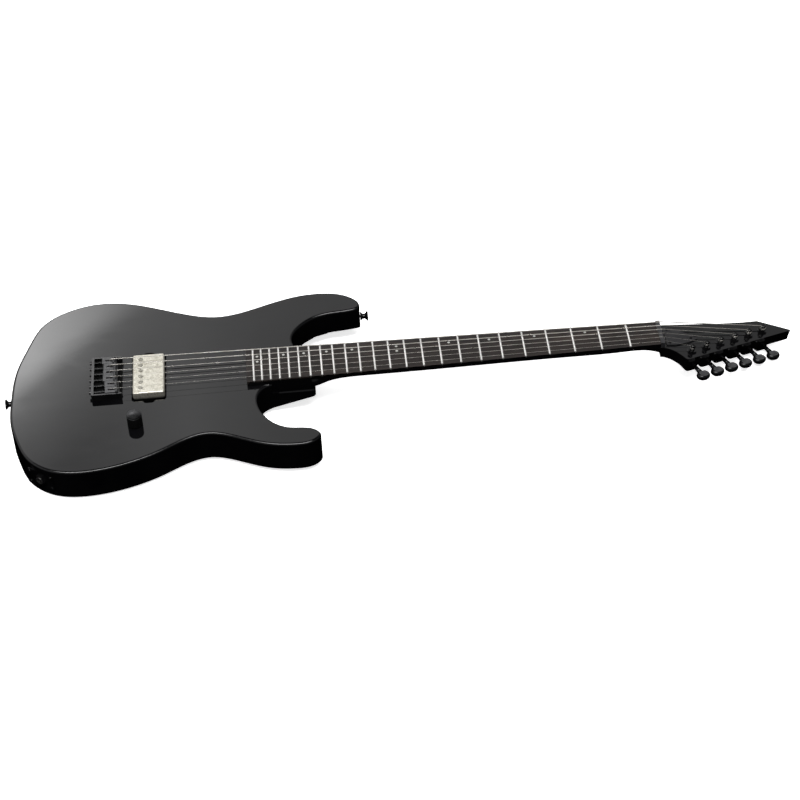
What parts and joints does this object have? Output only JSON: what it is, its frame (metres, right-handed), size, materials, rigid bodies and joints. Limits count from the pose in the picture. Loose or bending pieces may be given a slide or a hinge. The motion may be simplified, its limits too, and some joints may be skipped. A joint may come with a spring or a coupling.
{
  "type": "electric guitar",
  "caption": "Solid-body electric guitar with double cutaway, bolt-on neck, reversed pointed headstock, hardtail bridge and one covered pickup.",
  "frame": {"origin": "on the centre line, under the saddle line, on the flat back of the body", "axes": "+X along the strings towards the headstock, +Y towards the bass side, +Z out of the playing face"},
  "size_m": [0.9553, 0.302, 0.0717],
  "materials": {
    "gloss_black": "black gloss lacquer over wood",
    "fretboard_wood": "very dark brown, oiled open grain",
    "fret_steel": "bright polished nickel silver",
    "pearl": "pearl inlay, polished flush",
    "black_nut": "black moulded, satin",
    "string_steel": "plain and nickel-wound steel",
    "black_metal": "satin black plating",
    "brass": "plain brass",
    "plain_steel": "plated steel",
    "black_plastic": "black moulded plastic, satin",
    "aged_nickel": "aged nickel, warm and slightly clouded",
    "copper_wire": "enamelled copper winding",
    "magnet": "rough ground bar magnet",
    "tuner_grey": "dark grey satin button"
  },
  "bodies": {
    "guitar": {"bar_magnet": "magnet", "body": "gloss_black", "bridge_plate": "black_metal", "control_cover": "black_plastic", "cover_screws": "black_metal", "fretboard": "fretboard_wood", "frets": "fret_steel", "inlay_dots": "pearl", "jack_plate": "black_metal", "neck": "gloss_black", "neck_bolt_ferrules": "black_metal", "neck_bolts": "black_metal", "nut": "black_nut", "output_jack": "plain_steel", "panel_nuts": "black_metal", "pickup_baseplate": "brass", "pickup_bobbins": "black_plastic", "pickup_coils": "copper_wire", "pickup_cover": "aged_nickel", "pickup_mount_screws": "black_metal", "pole_screws": "aged_nickel", "slug_poles": "plain_steel", "strap_buttons": "black_metal", "string_ball_ends": "brass", "string_ferrules": "black_metal", "strings_plain": "string_steel", "strings_wound": "string_steel", "truss_rod": "plain_steel", "truss_rod_cover": "black_plastic", "tuner_bushings": "black_metal", "tuner_housings": "black_metal", "tuner_mount_screws": "black_metal", "volume_pot": "plain_steel", "wood_screws": "black_metal"},
    "volume_control": {"volume_knob": "black_metal", "pot_shaft": "brass"},
    "saddle_1": {"saddle_1": "black_metal"},
    "intonation_1": {"intonation_screw_1": "black_metal"},
    "tuner_button_1": {"tuner_button_1": "tuner_grey"},
    "tuner_post_1": {"tuner_post_1": "black_metal"},
    "saddle_2": {"saddle_2": "black_metal"},
    "intonation_2": {"intonation_screw_2": "black_metal"},
    "tuner_button_2": {"tuner_button_2": "tuner_grey"},
    "tuner_post_2": {"tuner_post_2": "black_metal"},
    "saddle_3": {"saddle_3": "black_metal"},
    "intonation_3": {"intonation_screw_3": "black_metal"},
    "tuner_button_3": {"tuner_button_3": "tuner_grey"},
    "tuner_post_3": {"tuner_post_3": "black_metal"},
    "saddle_4": {"saddle_4": "black_metal"},
    "intonation_4": {"intonation_screw_4": "black_metal"},
    "tuner_button_4": {"tuner_button_4": "tuner_grey"},
    "tuner_post_4": {"tuner_post_4": "black_metal"},
    "saddle_5": {"saddle_5": "black_metal"},
    "intonation_5": {"intonation_screw_5": "black_metal"},
    "tuner_button_5": {"tuner_button_5": "tuner_grey"},
    "tuner_post_5": {"tuner_post_5": "black_metal"},
    "saddle_6": {"saddle_6": "black_metal"},
    "intonation_6": {"intonation_screw_6": "black_metal"},
    "tuner_button_6": {"tuner_button_6": "tuner_grey"},
    "tuner_post_6": {"tuner_post_6": "black_metal"}
  },
  "joints": [
    {"name": "volume_turn", "type": "hinge", "parent": "guitar", "child": "volume_control", "pos_m": [0.0215, -0.08, 0.05], "axis": [0, 0, 1], "range_deg": [-150, 150]},
    {"name": "saddle_1_slide", "type": "slide", "parent": "guitar", "child": "saddle_1", "axis": [1, 0, 0], "range_m": [-0.0054, 0.0006]},
    {"name": "intonation_1_turn", "type": "hinge", "parent": "guitar", "child": "intonation_1", "pos_m": [-0.03, -0.02625, 0.0462], "axis": [-1, 0, 0], "range_deg": [-3889, 433]},
    {"name": "tuner_button_1_turn", "type": "hinge", "parent": "guitar", "child": "tuner_button_1", "pos_m": [0.68571, -0.01978, 0.01304], "axis": [0.441, -0.8926, -0.0937], "continuous": true},
    {"name": "tuner_post_1_turn", "type": "hinge", "parent": "guitar", "child": "tuner_post_1", "pos_m": [0.68498, -0.0223, 0.03364], "axis": [0.2079, 0, 0.9781], "continuous": true},
    {"name": "saddle_2_slide", "type": "slide", "parent": "guitar", "child": "saddle_2", "axis": [1, 0, 0], "range_m": [-0.0048, 0.0012]},
    {"name": "intonation_2_turn", "type": "hinge", "parent": "guitar", "child": "intonation_2", "pos_m": [-0.03, -0.01575, 0.0462], "axis": [-1, 0, 0], "range_deg": [-3457, 865]},
    {"name": "tuner_button_2_turn", "type": "hinge", "parent": "guitar", "child": "tuner_button_2", "pos_m": [0.70514, -0.00987, 0.00891], "axis": [0.441, -0.8926, -0.0937], "continuous": true},
    {"name": "tuner_post_2_turn", "type": "hinge", "parent": "guitar", "child": "tuner_post_2", "pos_m": [0.70441, -0.01239, 0.02951], "axis": [0.2079, 0, 0.9781], "continuous": true},
    {"name": "saddle_3_slide", "type": "slide", "parent": "guitar", "child": "saddle_3", "axis": [1, 0, 0], "range_m": [-0.0028, 0.0032]},
    {"name": "intonation_3_turn", "type": "hinge", "parent": "guitar", "child": "intonation_3", "pos_m": [-0.03, -0.00525, 0.0462], "axis": [-1, 0, 0], "range_deg": [-2017, 2305]},
    {"name": "tuner_button_3_turn", "type": "hinge", "parent": "guitar", "child": "tuner_button_3", "pos_m": [0.72458, 0.00004, 0.00477], "axis": [0.441, -0.8926, -0.0937], "continuous": true},
    {"name": "tuner_post_3_turn", "type": "hinge", "parent": "guitar", "child": "tuner_post_3", "pos_m": [0.72385, -0.00249, 0.02538], "axis": [0.2079, 0, 0.9781], "continuous": true},
    {"name": "saddle_4_slide", "type": "slide", "parent": "guitar", "child": "saddle_4", "axis": [1, 0, 0], "range_m": [-0.003, 0.003]},
    {"name": "intonation_4_turn", "type": "hinge", "parent": "guitar", "child": "intonation_4", "pos_m": [-0.03, 0.00525, 0.0462], "axis": [-1, 0, 0], "range_deg": [-2161, 2161]},
    {"name": "tuner_button_4_turn", "type": "hinge", "parent": "guitar", "child": "tuner_button_4", "pos_m": [0.74401, 0.00994, 0.00064], "axis": [0.441, -0.8926, -0.0937], "continuous": true},
    {"name": "tuner_post_4_turn", "type": "hinge", "parent": "guitar", "child": "tuner_post_4", "pos_m": [0.74328, 0.00742, 0.02125], "axis": [0.2079, 0, 0.9781], "continuous": true},
    {"name": "saddle_5_slide", "type": "slide", "parent": "guitar", "child": "saddle_5", "axis": [1, 0, 0], "range_m": [-0.0032, 0.0028]},
    {"name": "intonation_5_turn", "type": "hinge", "parent": "guitar", "child": "intonation_5", "pos_m": [-0.03, 0.01575, 0.0462], "axis": [-1, 0, 0], "range_deg": [-2305, 2017]},
    {"name": "tuner_button_5_turn", "type": "hinge", "parent": "guitar", "child": "tuner_button_5", "pos_m": [0.76344, 0.01985, -0.00349], "axis": [0.441, -0.8926, -0.0937], "continuous": true},
    {"name": "tuner_post_5_turn", "type": "hinge", "parent": "guitar", "child": "tuner_post_5", "pos_m": [0.76271, 0.01732, 0.01712], "axis": [0.2079, 0, 0.9781], "continuous": true},
    {"name": "saddle_6_slide", "type": "slide", "parent": "guitar", "child": "saddle_6", "axis": [1, 0, 0], "range_m": [-0.0014, 0.0046]},
    {"name": "intonation_6_turn", "type": "hinge", "parent": "guitar", "child": "intonation_6", "pos_m": [-0.03, 0.02625, 0.0462], "axis": [-1, 0, 0], "range_deg": [-1009, 3313]},
    {"name": "tuner_button_6_turn", "type": "hinge", "parent": "guitar", "child": "tuner_button_6", "pos_m": [0.78288, 0.02975, -0.00762], "axis": [0.441, -0.8926, -0.0937], "continuous": true},
    {"name": "tuner_post_6_turn", "type": "hinge", "parent": "guitar", "child": "tuner_post_6", "pos_m": [0.78215, 0.02723, 0.01299], "axis": [0.2079, 0, 0.9781], "continuous": true}
  ],
  "couplings": [
    {"joint": "intonation_1_turn", "follows": "saddle_1_slide", "rad_per_m": 12566},
    {"joint": "tuner_post_1_turn", "follows": "tuner_button_1_turn", "ratio": 0.055556},
    {"joint": "intonation_2_turn", "follows": "saddle_2_slide", "rad_per_m": 12566},
    {"joint": "tuner_post_2_turn", "follows": "tuner_button_2_turn", "ratio": 0.055556},
    {"joint": "intonation_3_turn", "follows": "saddle_3_slide", "rad_per_m": 12566},
    {"joint": "tuner_post_3_turn", "follows": "tuner_button_3_turn", "ratio": 0.055556},
    {"joint": "intonation_4_turn", "follows": "saddle_4_slide", "rad_per_m": 12566},
    {"joint": "tuner_post_4_turn", "follows": "tuner_button_4_turn", "ratio": 0.055556},
    {"joint": "intonation_5_turn", "follows": "saddle_5_slide", "rad_per_m": 12566},
    {"joint": "tuner_post_5_turn", "follows": "tuner_button_5_turn", "ratio": 0.055556},
    {"joint": "intonation_6_turn", "follows": "saddle_6_slide", "rad_per_m": 12566},
    {"joint": "tuner_post_6_turn", "follows": "tuner_button_6_turn", "ratio": 0.055556}
  ]
}
